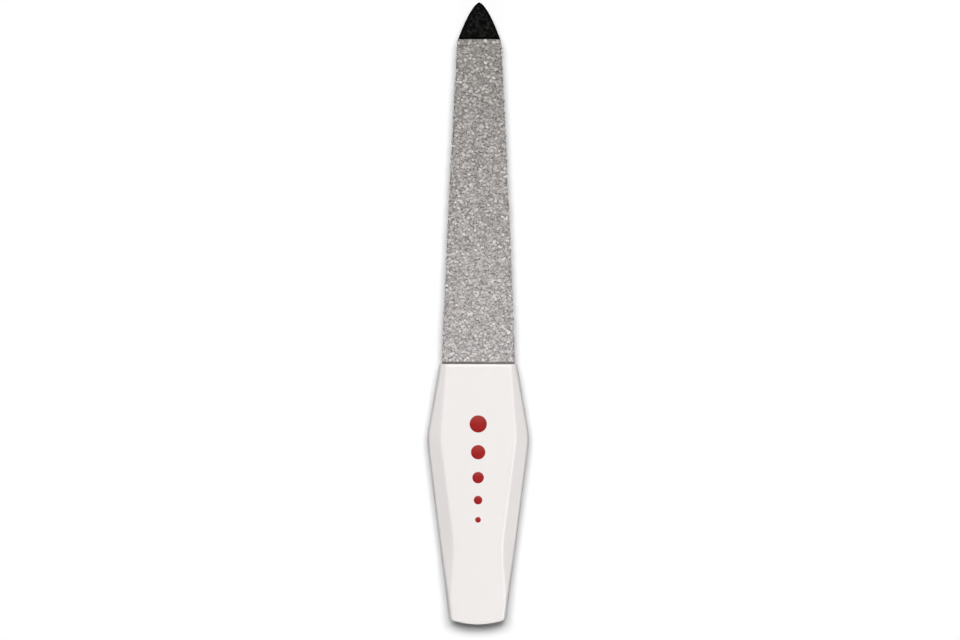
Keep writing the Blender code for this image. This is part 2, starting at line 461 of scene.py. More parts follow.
    def relief(self, *layers: tuple[NodeSocket, float]) -> None:
        """Bumps the shader's surface.

        Args:
            *layers: Pairs of pattern and the height between its 0 and its 1.
        """
        normal = None
        for pattern, height in layers:
            bump = self.add("Bump")
            bump.inputs["Strength"].default_value = 1.0
            bump.inputs["Distance"].default_value = height
            self.link(pattern, bump.inputs["Height"])
            if normal is not None:
                self.link(normal, bump.inputs["Normal"])
            normal = bump.outputs["Normal"]
        self.link(normal, "Normal")


# Finishes


def shade(colour: Colour, factor: float) -> Colour:
    """Returns the colour made lighter or darker."""
    return tuple(channel * factor for channel in colour)


@dataclass(frozen=True)
class Finish:
    """What a surface is made of. Each finish draws its own node sheet.

    Attributes:
        name: Name of its material.
    """

    name: str

    def make(self) -> Material:
        """Makes the finish's material, which pieces of the same finish share.

        Returns:
            The material.
        """
        material = bpy.data.materials.get(self.name)
        if material is None:
            sheet = NodeSheet(self.name)
            self.draw(sheet)
            material = sheet.material
        return material

    def draw(self, sheet: NodeSheet) -> None:
        """Draws the finish on an empty sheet."""
        raise NotImplementedError


@dataclass(frozen=True)
class BrushedSteel(Finish):
    """Rolled steel sheet, brushed along its length.

    Attributes:
        colour: Its colour between the brushed lines.
        roughness: Least and most roughness.
        line_width: Width of a line.
        line_stretch: How many times longer it is.
        line_depth: Its depth.
        line_shade: Factor of the colour in it.
        cloud_size: Size of the clouds in the roughness.
    """

    colour: Colour = (0.55, 0.55, 0.56)
    roughness: Limits = (0.28, 0.42)
    line_width: float = 0.08 * MM
    line_stretch: float = 60.0
    line_depth: float = 0.004 * MM
    line_shade: float = 0.85
    cloud_size: float = 4.0 * MM

    def draw(self, sheet: NodeSheet) -> None:
        """Draws fine lines along the blank, and cloudy roughness.

        Args:
            sheet: The empty sheet.
        """
        lines = sheet.grain(self.line_width, detail=3.0, stretch=(1.0, self.line_stretch, 1.0))
        clouds = sheet.grain(self.cloud_size)
        dark = shade(self.colour, self.line_shade)
        brushed = sheet.ramp(lines, [(0.3, dark), (0.7, self.colour)])
        sheet.plain(Metallic=1.0)
        sheet.link(brushed, "Base Color")
        sheet.roughen(clouds, self.roughness)
        sheet.relief((lines, self.line_depth))


@dataclass(frozen=True)
class NickelBond(Finish):
    """Dull nickel that holds the grains, dark between them, partly from its own colour and partly
    from painted shade.

    Attributes:
        colour: Its mean colour, partly its own dull grey and partly painted shade between the
            grains.
        roughness: Least and most roughness.
        lip_y: Where the darkening towards the point starts, and where the strip of painted shade
            along the lip lies.
        point_y: Where it is darkest.
        point_tint: Colour that its own is multiplied by there.
        painted_lip_shade: Colour of the painted shade in the strip next to the handle, where the
            lip meets the blade.
        painted_lip_shade_width: Width of that strip.
        pit_size: Size of its pits.
        pit_depth: Their depth.
        pit_shades: Factors of the colour in their depth and between them.
        blotch_size: Size of its blotches.
        blotch_shade: Factor of the colour in them.
        blotch_share: How far they hide what lies under them.
    """

    # a dull grey, kept darker than bare nickel partly as painted shade in the gaps between the
    # grains
    colour: Colour = (0.255, 0.243, 0.239)
    roughness: Limits = (0.42, 0.62)
    lip_y: float = 0.0
    point_y: float = 0.0
    point_tint: Colour = (0.525, 0.515, 0.488)
    painted_lip_shade: Colour = (0.056, 0.048, 0.04)
    painted_lip_shade_width: float = 0.5 * MM
    pit_size: float = 0.42 * MM
    pit_depth: float = 0.03 * MM
    pit_shades: Limits = (0.3, 1.4)
    blotch_size: float = 1.6 * MM
    blotch_shade: float = 0.7
    blotch_share: float = 0.4

    def draw(self, sheet: NodeSheet) -> None:
        """Draws a pitted, blotchy metal, darker towards the point and with painted shade along the
        lip.

        Args:
            sheet: The empty sheet.
        """
        pits = sheet.grain(self.pit_size, detail=3.0, contrast=0.6)
        blotches = sheet.grain(self.blotch_size)
        deep, high = (shade(self.colour, factor) for factor in self.pit_shades)
        pitted = sheet.ramp(pits, [(0.36, deep), (0.6, high)])
        sheet.plain(Metallic=0.5, Specular_IOR_Level=0.4)
        blotching = sheet.span(blotches, high=self.blotch_share, start=0.4, end=0.7)
        blotched = sheet.mix(blotching, pitted, shade(self.colour, self.blotch_shade))
        # darker from the lip towards the point
        point_darkening = sheet.along("Y", self.lip_y, self.point_y)
        darkened = sheet.mix(point_darkening, blotched, self.point_tint, "MULTIPLY")
        # painted shade: the strip next to the lip is darkened where the handle meets the blade
        unshaded_y, shaded_y = (self.lip_y + self.painted_lip_shade_width * share for share in (1.0, 0.5))
        near_lip = sheet.along("Y", unshaded_y, shaded_y)
        sheet.link(sheet.mix(near_lip, darkened, self.painted_lip_shade), "Base Color")
        sheet.roughen(blotches, self.roughness)
        sheet.relief((pits, self.pit_depth))


@dataclass(frozen=True)
class SapphireGrit(Finish):
    """Grey sapphire grains.

    Attributes:
        dark: Colour of the darkest grains, and of fractures.
        middle: Colour of a plain grain.
        light: Colour of the lightest grains.
        roughness: Least and most roughness.
        tone_layer: Attribute of the vertices that holds their grain's tone, from 0 to 1.
        lip_y: Where their darkening towards the point starts.
        point_y: Where they are darkest.
        point_tint: Colour that theirs are multiplied by there.
        fracture_size: Size of their fractures.
        fracture_depth: Depth of these.
        fracture_share: How far their colour hides the grain's.
    """

    dark: Colour = (0.11, 0.102, 0.1)
    middle: Colour = (0.518, 0.484, 0.478)
    light: Colour = (0.82, 0.768, 0.757)
    roughness: Limits = (0.3, 0.5)
    tone_layer: str = "grain_tone"
    lip_y: float = 0.0
    point_y: float = 0.0
    point_tint: Colour = (0.695, 0.69, 0.653)
    fracture_size: float = 0.12 * MM
    fracture_depth: float = 0.012 * MM
    fracture_share: float = 0.35

    def draw(self, sheet: NodeSheet) -> None:
        """Draws the grains' tones, a fine fracture texture and the darkening towards the point.

        Args:
            sheet: The empty sheet.
        """
        tone = sheet.add("Attribute", attribute_name=self.tone_layer).outputs["Fac"]
        fracture = sheet.grain(self.fracture_size, detail=3.0, contrast=0.6)
        body = sheet.ramp(tone, [(0.0, self.dark), (0.5, self.middle), (1.0, self.light)])
        chipping = sheet.span(fracture, high=self.fracture_share, start=0.45, end=0.7)
        chipped = sheet.mix(chipping, body, self.dark)
        # darker from the lip towards the point
        point_darkening = sheet.along("Y", self.lip_y, self.point_y)
        sheet.plain(IOR=1.77, Specular_IOR_Level=0.35)
        sheet.link(sheet.mix(point_darkening, chipped, self.point_tint, "MULTIPLY"), "Base Color")
        sheet.roughen(fracture, self.roughness)
        sheet.relief((fracture, self.fracture_depth))


@dataclass(frozen=True)
class BlackCoating(Finish):
    """Black coat of the point, rubbed and with a painted reflection on its faces, and deep black
    along its edges.

    Attributes:
        colour: Where it is untouched.
        rubbed_and_sheen: Its colour where it is most rubbed, partly rubbing and partly a painted
            reflection.
        roughness: Least and most roughness.
        base_y: Base of the point.
        length: From the base to the apex.
        half_width: Half width at the base.
        fullness: Exponent of the outline.
        rim: Width of the rim that the rubbing and the painted reflection leave out.
        speckle_size: Size of the coat's fine texture.
        speckle_depth: Its depth.
        streak_size: Width of the rubbed streaks.
        streak_depth: Their depth.
    """

    colour: Colour = (0.0005, 0.0005, 0.0005)
    rubbed_and_sheen: Colour = (0.027, 0.0275, 0.0255)
    roughness: Limits = (0.34, 0.55)
    base_y: float = 0.0
    length: float = 1.0
    half_width: float = 1.0
    fullness: float = 1.0
    rim: float = 0.3 * MM
    speckle_size: float = 0.18 * MM
    speckle_depth: float = 0.006 * MM
    streak_size: float = 0.75 * MM
    streak_depth: float = 0.008 * MM

    def middle(self, sheet: NodeSheet) -> NodeSocket:
        """Draws a mask that is 1 along the middle of the point and 0 along its outline, where the
        rubbing and the painted reflection show.

        Args:
            sheet: The sheet that gets its nodes.

        Returns:
            The mask.
        """
        shares = sheet.along("Y", self.base_y + self.length, self.base_y)
        outline = sheet.maths("POWER", shares, self.fullness)
        across = sheet.maths("ABSOLUTE", sheet.axis("X"), 0.0)
        room = sheet.maths("SUBTRACT", sheet.maths("MULTIPLY", outline, self.half_width), across)
        from_base = sheet.along("Y", self.base_y + self.rim, self.base_y + 2 * self.rim)
        from_sides = sheet.span(room, start=self.rim, end=3 * self.rim)
        return sheet.maths("MULTIPLY", from_sides, from_base)

    def draw(self, sheet: NodeSheet) -> None:
        """Draws a fine texture, rubbed streaks that also paint a reflection on the middle of the
        faces, and uneven gloss.

        Args:
            sheet: The empty sheet.
        """
        speckle = sheet.grain(self.speckle_size)
        streaks = sheet.grain(self.streak_size, detail=4.0, stretch=(1.0, 1.2, 1.0), contrast=0.6)
        sheet.plain(Specular_IOR_Level=0.01)
        # rubbed streaks, lighter in the middle of the faces: partly real rubbing, partly a painted
        # reflection of the light from above
        bright = sheet.span(streaks, start=0.45, end=0.74)
        rub_and_sheen_share = sheet.maths("MULTIPLY", bright, self.middle(sheet))
        coloured = sheet.ramp(rub_and_sheen_share, [(0.0, self.colour), (1.0, self.rubbed_and_sheen)])
        sheet.link(coloured, "Base Color")
        sheet.roughen(streaks, self.roughness, swing=(0.35, 0.65))
        sheet.relief((speckle, self.speckle_depth), (streaks, self.streak_depth))


@dataclass(frozen=True)
class WhitePlastic(Finish):
    """Warm white moulded plastic with a soft gloss.

    Attributes:
        colour: Its colour between the flow marks.
        roughness: Least and most roughness.
        flow_size: Width of a flow mark.
        flow_shade: Factor of the colour in it.
        peel_size: Size of the mould's fine texture.
        peel_depth: Its depth.
        scratch_width: Width of a scratch.
        scratch_stretch: How many times longer it is.
        scratch_depth: Its depth.
    """

    colour: Colour = (0.849, 0.814, 0.8)
    roughness: Limits = (0.27, 0.35)
    flow_size: float = 9.0 * MM
    flow_shade: float = 0.985
    peel_size: float = 0.45 * MM
    peel_depth: float = 0.003 * MM
    scratch_width: float = 0.09 * MM
    scratch_stretch: float = 40.0
    scratch_depth: float = 0.002 * MM

    def draw(self, sheet: NodeSheet) -> None:
        """Draws the mould's fine texture, faint flow marks and hairline scratches.

        Args:
            sheet: The empty sheet.
        """
        flow = sheet.grain(self.flow_size, stretch=(1.0, 2.5, 1.0))
        peel = sheet.grain(self.peel_size)
        lengthwise = (1.0, self.scratch_stretch, 1.0)
        hairs = sheet.grain(self.scratch_width, detail=1.0, stretch=lengthwise)
        scratches = sheet.span(hairs, start=0.68, end=0.74)
        marbled = sheet.ramp(flow, [(0.3, shade(self.colour, self.flow_shade)), (0.7, self.colour)])
        sheet.link(marbled, "Base Color")
        sheet.roughen(peel, self.roughness)
        sheet.relief((peel, self.peel_depth), (scratches, self.scratch_depth))


@dataclass(frozen=True)
class PrintedInk(Finish):
    """Red ink, pad-printed on the handle.

    Attributes:
        colour: Its colour where it covers well.
        roughness: Least and most roughness.
        cover_size: Size of the places where it covers less.
        cover_depth: Their depth.
        cover_shade: Factor of the colour there.
    """

    colour: Colour = (0.36, 0.012, 0.01)
    roughness: Limits = (0.32, 0.48)
    cover_size: float = 0.25 * MM
    cover_depth: float = 0.002 * MM
    cover_shade: float = 0.8

    def draw(self, sheet: NodeSheet) -> None:
        """Draws ink that covers a little unevenly.

        Args:
            sheet: The empty sheet.
        """
        cover = sheet.grain(self.cover_size, detail=3.0)
        thin = shade(self.colour, self.cover_shade)
        inked = sheet.ramp(cover, [(0.3, thin), (0.65, self.colour)])
        sheet.plain(Specular_IOR_Level=0.12)
        sheet.link(inked, "Base Color")
        sheet.roughen(cover, self.roughness)
        sheet.relief((cover, self.cover_depth))


# The file's sub-assemblies


@dataclass(frozen=True)
class Places:
    """Places and half sizes that the frame gives. Heights are measured from mid-thickness.

    Attributes:
        mid_z: Height of the file's middle plane.
        lip_y: The handle's front end.
        end_y: The handle's rear end.
        handle_half_height: Half the handle's thickness.
        coat_root_y: End of the grit coats inside the handle.
        shoulder_y: Where the coats end and the point starts.
        coat_half_width: Half width over the coats, at the lip.
        coat_half_height: Half thickness over the coats.
        point_base_y: Base of the coated point.
        point_tip_y: Its apex.
        point_half_width: Its half width, at its base.
        point_half_height: Its half thickness.
    """

    mid_z: float
    lip_y: float
    end_y: float
    handle_half_height: float
    coat_root_y: float
    shoulder_y: float
    coat_half_width: float
    coat_half_height: float
    point_base_y: float
    point_tip_y: float
    point_half_width: float
    point_half_height: float

    @classmethod
    def from_frame(cls) -> "Places":
        """Reads the places off the CAD nodes' boxes.

        Returns:
            The places.
        """
        handle_low, handle_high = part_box("handle")
        coat_low, coat_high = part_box("front_grit_coat")
        point_low, point_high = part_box("point_coat")
        mid_z = (handle_low.z + handle_high.z) / 2
        return cls(
            mid_z=mid_z,
            lip_y=handle_high.y,
            end_y=handle_low.y,
            handle_half_height=handle_high.z - mid_z,
            coat_root_y=coat_low.y,
            shoulder_y=coat_high.y,
            coat_half_width=coat_high.x,
            coat_half_height=coat_high.z - mid_z,
            point_base_y=point_low.y,
            point_tip_y=point_high.y,
            point_half_width=point_high.x,
            point_half_height=(point_high.z - point_low.z) / 2,
        )


@dataclass
class SteelBlank:
    """Steel core, which stays as the frame has it and only gets a finish.

    Attributes:
        node: Its CAD node.
    """

    node: str = "steel_blank"

    def assemble(self) -> None:
        """Dresses the blank."""
        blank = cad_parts[self.node]
        finish = BrushedSteel("hardened_steel_brushed")
        blank.data.materials.clear()
        blank.data.materials.append(finish.make())
        report(blank, finish)


class Side(Enum):
    """Face of the file that a coat lies on, as its direction along Z."""

    FRONT = 1
    REAR = -1


@dataclass(frozen=True)
class Grit:
    """Sizes of one grade of grit.

    Attributes:
        pitch: Mean distance between grains.
        radius: Mean radius of a grain, along the surface.
        stand: Mean half height of a grain, whose middle lies just inside the bond.
        spread: Share by which chance makes either larger or smaller.
        seed: Start of the grade's random draws.
    """

    pitch: float
    radius: float
    stand: float
    spread: float
    seed: int


class Grade(Enum):
    """Grades of grit on a two-sided file."""

    COARSE = Grit(pitch=0.75 * MM, radius=0.42 * MM, stand=0.42 * MM, spread=0.2, seed=11)
    FINE = Grit(pitch=0.55 * MM, radius=0.32 * MM, stand=0.3 * MM, spread=0.2, seed=29)


@dataclass
class GritCoat:
    """One face's coat: a nickel bond that wraps half of both edges, and the grains that it holds.

    Attributes:
        places: Places from the frame.
        side: The face that it covers.
        grade: Its grade of grit.
        thickness: Bond and grains together.
        bond: Thickness of the bond.
        shoulder_half_width: Half width over the coat, at the shoulder.
        bow: How far each long edge bows out from a straight taper.
        corner: Radius of the bond's long edges.
        seam: Half the gap to the other face's coat.
        bare: Bond without grains, next to the lip.
        bare_end: From the last row of grains to the shoulder, in mean radii of a grain.
        uneven: Height of the swells in the bond's surface.
        clump: Size of these swells, and of the clumps of high grains.
        ripple: Height of the finer swells, as a share of the others'.
        ripple_count: How many of them lie along each of the others.
        bond_step: Length of the bond's faces.
        arc_steps: Number of chords round each of its long edges.
        embedded: How deep the middle of a grain lies in the bond.
        stray: How far a grain strays along its row, as a share of the pitch.
        row_stray: The same for straying from its row.
        lengths: Least and most of a grain's half length, as a share of its radius.
        widths: The same for its half width.
        jag: How far its corners are pulled in or out, as a share.
        lean: Largest angle by which it is turned about the way out of the bond.
        tone: Mean tone of the grains, from 0 for dark to 1 for light.
        tone_spread: How much their tones differ.
        tone_layer: Attribute of the vertices that holds their grain's tone.
    """

    places: Places
    side: Side
    grade: Grade
    thickness: float = 0.35 * MM
    bond: float = 0.15 * MM
    shoulder_half_width: float = 4.62 * MM
    bow: float = 0.11 * MM
    corner: float = 0.22 * MM
    seam: float = 0.015 * MM
    bare: float = 0.36 * MM
    bare_end: float = 1.05
    uneven: float = 0.03 * MM
    clump: float = 1.0 * MM
    ripple: float = 0.6
    ripple_count: float = 3.0
    bond_step: float = 0.4 * MM
    arc_steps: int = 4
    embedded: float = 0.1 * MM
    stray: float = 0.36
    row_stray: float = 0.5
    lengths: Limits = (1.0, 1.4)
    widths: Limits = (0.75, 1.05)
    jag: float = 0.2
    lean: float = 1.0
    tone: float = 0.55
    tone_spread: float = 0.08
    tone_layer: str = SapphireGrit.tone_layer

    def half_width(self, y: float) -> float:
        """Half width of the bond.

        Args:
            y: Place along the blade.

        Returns:
            The distance from the centre line to the bond's outer edge.
        """
        t = (y - self.places.lip_y) / (self.places.shoulder_y - self.places.lip_y)
        t = min(max(t, 0.0), 1.0)
        straight = self.places.coat_half_width * (1 - t) + self.shoulder_half_width * t
        return straight + 4 * self.bow * t * (1 - t) - self.thickness + self.bond

    @property
    def top(self) -> float:
        """Height of the bond's surface."""
        return self.places.coat_half_height - self.thickness + self.bond

    @property
    def wall(self) -> float:
        """Height of the bond's straight edge, between its seam and its corner."""
        return self.top - self.corner - self.seam

    def girth(self, y: float) -> float:
        """Length of the bond's section, from seam to seam."""
        return 2 * (self.wall + self.corner * QUARTER_TURN + self.half_width(y) - self.corner)

    def station(self, y: float, travel: float) -> tuple[Vector, Vector]:
        """Finds a place on the bond.

        Args:
            y: Place along the blade.
            travel: Distance along the section, from the right-hand seam.

        Returns:
            The place and the way out of the surface there.
        """
        girth = self.girth(y)
        along = min(travel, girth - travel)
        arc = self.corner * QUARTER_TURN
        turn = min(max((along - self.wall) / self.corner, 0.0), QUARTER_TURN)
        across = max(along - self.wall - arc, 0.0)
        mirror = 1 if travel * 2 <= girth else -1
        x = mirror * (self.half_width(y) - self.corner * (1 - math.cos(turn)) - across)
        z = self.seam + min(max(along, 0.0), self.wall) + self.corner * math.sin(turn)
        place = Vector((x, y, self.places.mid_z + self.side.value * z))
        return place, Vector((mirror * math.cos(turn), 0.0, self.side.value * math.sin(turn)))

    def bond_ring(self, y: float, across: int) -> list[Vector]:
        """Draws the bond's section.

        Args:
            y: Place along the blade.
            across: Number of steps over the flat face.

        Returns:
            Points of the outer path and the four corners of the steel that it covers.
        """
        girth = self.girth(y)
        arc = self.corner * QUARTER_TURN
        turned = [arc * step / self.arc_steps for step in range(self.arc_steps + 1)]
        edge = [0.0] + [self.wall + part for part in turned]
        flat = girth - 2 * edge[-1]
        over = [edge[-1] + flat * step / across for step in range(1, across)]
        travels = edge + over + [girth - travel for travel in reversed(edge)]
        points = []
        for travel in travels:
            place, out = self.station(y, travel)
            ripple = self.ripple * noise.noise(place * self.ripple_count / self.clump)
            swell = noise.noise(place / self.clump) + ripple
            points.append(place + out * (swell * self.uneven))
        inner_x = self.half_width(y) - self.bond
        low = self.places.mid_z + self.side.value * self.seam
        high = self.places.mid_z + self.side.value * (self.top - self.bond)
        inner = [(-inner_x, low), (-inner_x, high), (inner_x, high), (inner_x, low)]
        return points + [Vector((x, y, z)) for x, z in inner]

    def build_bond(self) -> BMesh:
        """Lofts the bond from its root in the handle to the shoulder.

        Returns:
            The bond.
        """
        length = self.places.shoulder_y - self.places.coat_root_y
        steps = round(length / self.bond_step)
        across = round(self.girth(self.places.lip_y) / self.bond_step)
        ys = [self.places.coat_root_y + length * step / steps for step in range(steps + 1)]
        return loft([self.bond_ring(y, across) for y in ys])

    def build_grain(self, bm: BMesh, place: Vector, out: Vector, draws: random.Random) -> None:
        """Sets one grain in the bond: a jagged, slightly flattened crystal.

        Args:
            bm: Mesh that gets the grain.
            place: Where it sits on the bond.
            out: The way out of the bond there.
            draws: The grade's random draws.
        """
        grit = self.grade.value
        lump = noise.noise(place / self.clump)
        size = 1 + grit.spread * draws.uniform(-1, 1)
        stand = grit.stand * (1 + grit.spread * (draws.uniform(-1, 1) + lump))
        turn = Matrix.Rotation(draws.uniform(0, math.tau), 4, draws.choice("XYZ"))
        tilt = Matrix.Rotation(draws.uniform(0, math.tau), 4, draws.choice("XYZ"))
        radius = grit.radius * size
        long, wide = (radius * draws.uniform(*limits) for limits in (self.lengths, self.widths))
        flatten = Matrix.Diagonal((long, wide, stand, 1.0))
        lay = out.to_track_quat("Z", "Y").to_matrix().to_4x4()
        spin = Matrix.Rotation(draws.uniform(-1, 1) * self.lean, 4, "Z")
        sunk_place = Matrix.Translation(place - out * self.embedded)
        matrix = sunk_place @ lay @ spin @ flatten @ turn @ tilt
        made = bmesh.ops.create_cube(bm, size=UNIT_CUBE, matrix=matrix)
        tone = draws.gauss(self.tone, self.tone_spread) + self.tone_spread * lump
        layer = bm.verts.layers.float[self.tone_layer]
        for vert in made["verts"]:
            vert.co += (vert.co - place) * draws.uniform(-self.jag, self.jag)
            sunk = -self.embedded - (vert.co - place).dot(out)
            if sunk > 0:
                vert.co += out * sunk
            height = self.side.value * (vert.co.z - self.places.mid_z)
            if height < self.seam:
                vert.co.z += self.side.value * (self.seam - height)
            vert[layer] = min(max(tone, 0.0), 1.0)

    def build_grains(self) -> BMesh:
        """Sets the grains row by row, from the lip to the shoulder.

        Returns:
            The grains, each a closed body of its own.
        """
        grit = self.grade.value
        draws = random.Random(grit.seed)
        start = self.places.lip_y + self.bare + grit.radius
        end = self.places.shoulder_y - self.bare_end * grit.radius
        rows = round((end - start) / (grit.pitch * ROW_SPACING))
        whole = bmesh.new()
        whole.verts.layers.float.new(self.tone_layer)
        row_mesh = bpy.data.meshes.new("row")
        for row in range(rows + 1):
            bm = bmesh.new()
            bm.verts.layers.float.new(self.tone_layer)
            y = start + (end - start) * row / rows
            girth = self.girth(y)
            count = round(girth / grit.pitch)
            first = 0.25 + 0.5 * (row % 2)  # each row lies half a pitch beside the one before
            for number in range(count):
                stray = draws.uniform(-self.stray, self.stray)
                travel = (number + first + stray) * girth / count
                row_stray = draws.uniform(-self.row_stray, self.row_stray) * grit.pitch
                grain_y = min(max(y + row_stray, start), end)
                self.build_grain(bm, *self.station(grain_y, travel), draws)
            bm.to_mesh(row_mesh)
            bm.free()
            whole.from_mesh(row_mesh)
        bpy.data.meshes.remove(row_mesh)
        return whole

    def assemble(self) -> None:
        """Builds and dresses the bond and the grains."""
        name = self.side.name.lower()
        slot = f"{self.grade.name.lower()}_sapphire_grit"
        bond = Piece(f"{name}_grit_bond", self.build_bond())
        point_darkening = {"lip_y": self.places.lip_y, "point_y": self.places.shoulder_y}
        bond.dress(NickelBond("nickel_bond", **point_darkening), slot, [f"{name}_grit_coat"])
        grains = Piece(f"{name}_grains", self.build_grains(), smooth=False)
        grains.dress(SapphireGrit("sapphire_grit", **point_darkening), slot, [f"{name}_grit_coat"])


def blank_core(gap: float) -> BMesh:
    """Copies the steel blank, grown by a gap all round, as a tool that cuts its pocket.

    Args:
        gap: How far every face is moved out.

    Returns:
        The grown blank.
    """
    bm = bmesh.new()
    bm.from_mesh(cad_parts[SteelBlank.node].data)
    bmesh.ops.remove_doubles(bm, verts=bm.verts, dist=WELD)
    bmesh.ops.recalc_face_normals(bm, faces=bm.faces)
    bm.normal_update()
    grown = [vert.co + vert.normal * (gap * vert.calc_shell_factor()) for vert in bm.verts]
    for vert, place in zip(bm.verts, grown):
        vert.co = place
    return bm


@dataclass
class PointCoat:
    """Black coat of the steel point, with rounded edges.

    Attributes:
        places: Places from the frame.
        fullness: Exponent of the outline: 0.5 is a parabola, 1 a straight taper.
        edge_radius: Radius of its edges.
        nose_draw: How many edge radii the rounded edge draws in at the apex.
        gap: Between the coat and its steel.
        side_steps: Number of chords along each side.
        arc_steps: Number of chords round its edges.
    """

    places: Places
    fullness: float = 0.64
    edge_radius: float = 0.3 * MM
    nose_draw: float = 2.0
    gap: float = 0.02 * MM
    side_steps: int = 40
    arc_steps: int = 8

    def side(self, half_width: float, length: float) -> list[Point]:
        """Draws the right side of the outline.

        Args:
            half_width: At the base.
            length: From the base to the apex.

        Returns:
            Points from the apex to the base.
        """
        # squares crowd the points near the apex, where the outline turns most
        shares = [(step / self.side_steps) ** 2 for step in range(self.side_steps + 1)]
        base_y = self.places.point_base_y
        return [(half_width * t**self.fullness, base_y + length * (1 - t)) for t in shares]

    def ring_at(self, turn: float, side: int) -> list[Vector]:
        """Draws the outline at one level of the rounded edge.

        Args:
            turn: How far the edge has turned, from 0 at the side to a quarter turn at the face.
            side: 1 above mid-thickness and -1 below it.

        Returns:
            The outline's points.
        """
        inset = self.edge_radius * (1 - math.cos(turn))
        height = self.places.point_half_height - self.edge_radius * (1 - math.sin(turn))
        length = self.places.point_tip_y - self.places.point_base_y - self.nose_draw * inset
        outline = mirrored(self.side(self.places.point_half_width - inset, length))
        z = self.places.mid_z + side * height
        return [Vector((x, y, z)) for x, y in outline]

    def assemble(self) -> None:
        """Builds the coat, cuts the steel's pocket and dresses it."""
        turns = [QUARTER_TURN * step / self.arc_steps for step in range(self.arc_steps + 1)]
        rings = [self.ring_at(turn, -1) for turn in reversed(turns)]
        rings += [self.ring_at(turn, 1) for turn in turns]
        coat = Piece("point_cap", loft(rings)).cut(blank_core(self.gap))
        finish = BlackCoating(
            "black_point_coating_rubbed_sheen",
            base_y=self.places.point_base_y,
            length=self.places.point_tip_y - self.places.point_base_y,
            half_width=self.places.point_half_width,
            fullness=self.fullness,
        )
        coat.dress(finish, "black_point_coating", ["point_coat"])


